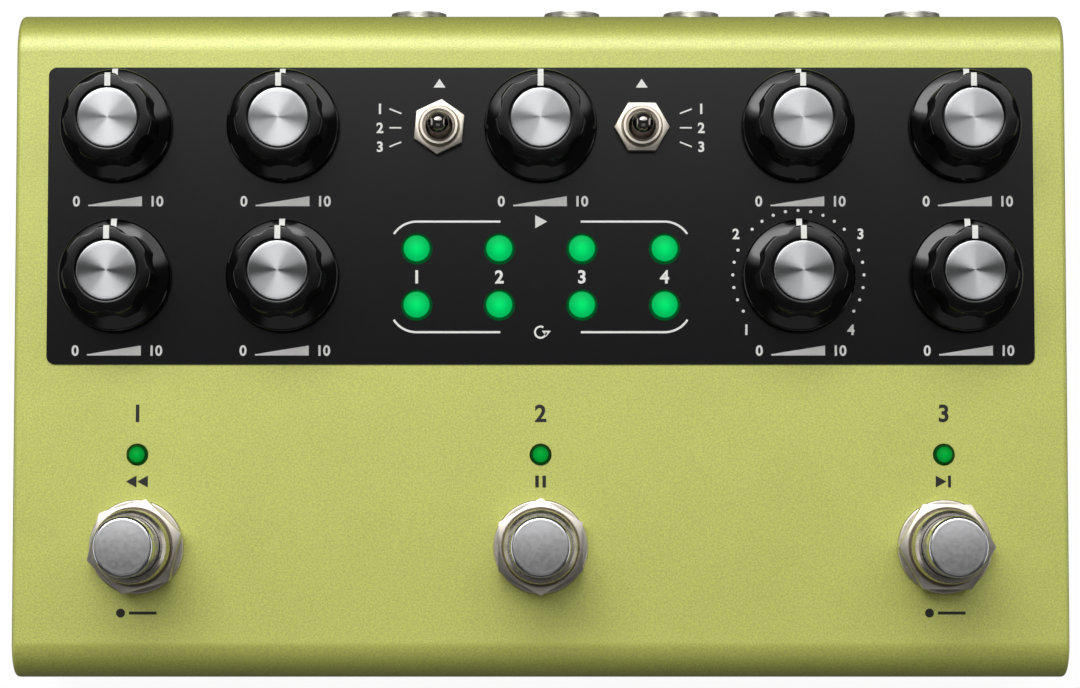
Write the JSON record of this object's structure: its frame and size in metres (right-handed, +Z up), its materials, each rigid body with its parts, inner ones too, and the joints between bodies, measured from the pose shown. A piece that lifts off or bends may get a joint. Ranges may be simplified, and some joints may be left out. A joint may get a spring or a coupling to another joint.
{
  "type": "delay pedal",
  "caption": "Desk or floor delay pedal: formed metal housing with fluted rotary knobs, lit keys, toggles, footswitches and sockets along the back.",
  "frame": {"origin": "on the floor, under the middle of the box that the pedal fills, socket noses included", "axes": "+X to the player's right along the width, +Y to the sockets at the back, +Z up"},
  "size_m": [0.1764, 0.115, 0.0639],
  "materials": {
    "shell_paint": "satin, finely blasted yellow-green",
    "overlay_black": "satin black with pale printed marks",
    "plate_metal": "satin grey",
    "dark_screw": "blackened",
    "foot_rubber": "matte",
    "board": "solder mask",
    "pot_metal": "plain",
    "switch_plastic": "moulded",
    "lamp_green": "clear green, lit",
    "key_green": "translucent green, lit",
    "nickel": "bright nickel",
    "chrome": "polished",
    "socket_plastic": "moulded black",
    "steel_shell": "plain",
    "knob_black": "glossy black, satin on top, with a white pointer",
    "inlay_metal": "spun",
    "shaft_metal": "turned"
  },
  "bodies": {
    "housing": {"enclosure": "shell_paint", "end_plates": "shell_paint", "bottom_plate": "plate_metal", "rubber_feet": "foot_rubber", "screws": "dark_screw", "control_overlay": "overlay_black", "main_board": "board", "potentiometers": "pot_metal", "button_switches": "switch_plastic", "status_lamps": "lamp_green", "toggle_bodies": "nickel", "toggle_nuts": "nickel", "footswitch_bodies": "nickel", "footswitch_nuts": "nickel", "footswitch_washers": "nickel", "audio_sockets": "socket_plastic", "socket_nuts": "nickel", "control_sockets": "socket_plastic", "data_socket": "steel_shell", "power_inlet": "socket_plastic"},
    "dial_back_1": {"knob_back_1": "knob_black", "knob_inlay_back_1": "inlay_metal", "pot_shaft_back_1": "shaft_metal"},
    "dial_back_2": {"knob_back_2": "knob_black", "knob_inlay_back_2": "inlay_metal", "pot_shaft_back_2": "shaft_metal"},
    "dial_back_3": {"knob_back_3": "knob_black", "knob_inlay_back_3": "inlay_metal", "pot_shaft_back_3": "shaft_metal"},
    "dial_back_4": {"knob_back_4": "knob_black", "knob_inlay_back_4": "inlay_metal", "pot_shaft_back_4": "shaft_metal"},
    "dial_back_5": {"knob_back_5": "knob_black", "knob_inlay_back_5": "inlay_metal", "pot_shaft_back_5": "shaft_metal"},
    "dial_front_1": {"knob_front_1": "knob_black", "knob_inlay_front_1": "inlay_metal", "pot_shaft_front_1": "shaft_metal"},
    "dial_front_2": {"knob_front_2": "knob_black", "knob_inlay_front_2": "inlay_metal", "pot_shaft_front_2": "shaft_metal"},
    "dial_front_3": {"knob_front_3": "knob_black", "knob_inlay_front_3": "inlay_metal", "pot_shaft_front_3": "shaft_metal"},
    "dial_front_4": {"knob_front_4": "knob_black", "knob_inlay_front_4": "inlay_metal", "pot_shaft_front_4": "shaft_metal"},
    "key_back_1": {"button_back_1": "key_green"},
    "key_back_2": {"button_back_2": "key_green"},
    "key_back_3": {"button_back_3": "key_green"},
    "key_back_4": {"button_back_4": "key_green"},
    "key_front_1": {"button_front_1": "key_green"},
    "key_front_2": {"button_front_2": "key_green"},
    "key_front_3": {"button_front_3": "key_green"},
    "key_front_4": {"button_front_4": "key_green"},
    "toggle_left": {"toggle_lever_left": "chrome"},
    "toggle_right": {"toggle_lever_right": "chrome"},
    "stomp_left": {"footswitch_button_left": "chrome"},
    "stomp_middle": {"footswitch_button_middle": "chrome"},
    "stomp_right": {"footswitch_button_right": "chrome"}
  },
  "joints": [
    {"name": "turn_back_1", "type": "hinge", "parent": "housing", "child": "dial_back_1", "pos_m": [-0.0713, 0.0349, 0.0448], "axis": [0, 0, 1], "range_deg": [-150, 150]},
    {"name": "turn_back_2", "type": "hinge", "parent": "housing", "child": "dial_back_2", "pos_m": [-0.0432, 0.0349, 0.0448], "axis": [0, 0, 1], "range_deg": [-150, 150]},
    {"name": "turn_back_3", "type": "hinge", "parent": "housing", "child": "dial_back_3", "pos_m": [0, 0.0349, 0.0448], "axis": [0, 0, 1], "range_deg": [-150, 150]},
    {"name": "turn_back_4", "type": "hinge", "parent": "housing", "child": "dial_back_4", "pos_m": [0.0432, 0.0349, 0.0448], "axis": [0, 0, 1], "range_deg": [-150, 150]},
    {"name": "turn_back_5", "type": "hinge", "parent": "housing", "child": "dial_back_5", "pos_m": [0.0713, 0.0349, 0.0448], "axis": [0, 0, 1], "range_deg": [-150, 150]},
    {"name": "turn_front_1", "type": "hinge", "parent": "housing", "child": "dial_front_1", "pos_m": [-0.0713, 0.00965, 0.0448], "axis": [0, 0, 1], "range_deg": [-150, 150]},
    {"name": "turn_front_2", "type": "hinge", "parent": "housing", "child": "dial_front_2", "pos_m": [-0.0432, 0.00965, 0.0448], "axis": [0, 0, 1], "range_deg": [-150, 150]},
    {"name": "turn_front_3", "type": "hinge", "parent": "housing", "child": "dial_front_3", "pos_m": [0.0432, 0.00965, 0.0448], "axis": [0, 0, 1], "range_deg": [-150, 150]},
    {"name": "turn_front_4", "type": "hinge", "parent": "housing", "child": "dial_front_4", "pos_m": [0.0713, 0.00965, 0.0448], "axis": [0, 0, 1], "range_deg": [-150, 150]},
    {"name": "press_key_back_1", "type": "slide", "parent": "housing", "child": "key_back_1", "axis": [0, 0, -1], "range_m": [0, 0.0008], "stiffness_N_per_m": 1500, "springref_m": -0.0003},
    {"name": "press_key_back_2", "type": "slide", "parent": "housing", "child": "key_back_2", "axis": [0, 0, -1], "range_m": [0, 0.0008], "stiffness_N_per_m": 1500, "springref_m": -0.0003},
    {"name": "press_key_back_3", "type": "slide", "parent": "housing", "child": "key_back_3", "axis": [0, 0, -1], "range_m": [0, 0.0008], "stiffness_N_per_m": 1500, "springref_m": -0.0003},
    {"name": "press_key_back_4", "type": "slide", "parent": "housing", "child": "key_back_4", "axis": [0, 0, -1], "range_m": [0, 0.0008], "stiffness_N_per_m": 1500, "springref_m": -0.0003},
    {"name": "press_key_front_1", "type": "slide", "parent": "housing", "child": "key_front_1", "axis": [0, 0, -1], "range_m": [0, 0.0008], "stiffness_N_per_m": 1500, "springref_m": -0.0003},
    {"name": "press_key_front_2", "type": "slide", "parent": "housing", "child": "key_front_2", "axis": [0, 0, -1], "range_m": [0, 0.0008], "stiffness_N_per_m": 1500, "springref_m": -0.0003},
    {"name": "press_key_front_3", "type": "slide", "parent": "housing", "child": "key_front_3", "axis": [0, 0, -1], "range_m": [0, 0.0008], "stiffness_N_per_m": 1500, "springref_m": -0.0003},
    {"name": "press_key_front_4", "type": "slide", "parent": "housing", "child": "key_front_4", "axis": [0, 0, -1], "range_m": [0, 0.0008], "stiffness_N_per_m": 1500, "springref_m": -0.0003},
    {"name": "flip_left", "type": "hinge", "parent": "housing", "child": "toggle_left", "pos_m": [-0.017, 0.0346, 0.0456], "axis": [1, 0, 0], "range_deg": [-13, 13]},
    {"name": "flip_right", "type": "hinge", "parent": "housing", "child": "toggle_right", "pos_m": [0.017, 0.0346, 0.0456], "axis": [1, 0, 0], "range_deg": [-13, 13]},
    {"name": "press_left", "type": "slide", "parent": "housing", "child": "stomp_left", "axis": [0, 0, -1], "range_m": [0, 0.0025], "stiffness_N_per_m": 4000, "springref_m": -0.001},
    {"name": "press_middle", "type": "slide", "parent": "housing", "child": "stomp_middle", "axis": [0, 0, -1], "range_m": [0, 0.0025], "stiffness_N_per_m": 4000, "springref_m": -0.001},
    {"name": "press_right", "type": "slide", "parent": "housing", "child": "stomp_right", "axis": [0, 0, -1], "range_m": [0, 0.0025], "stiffness_N_per_m": 4000, "springref_m": -0.001}
  ]
}
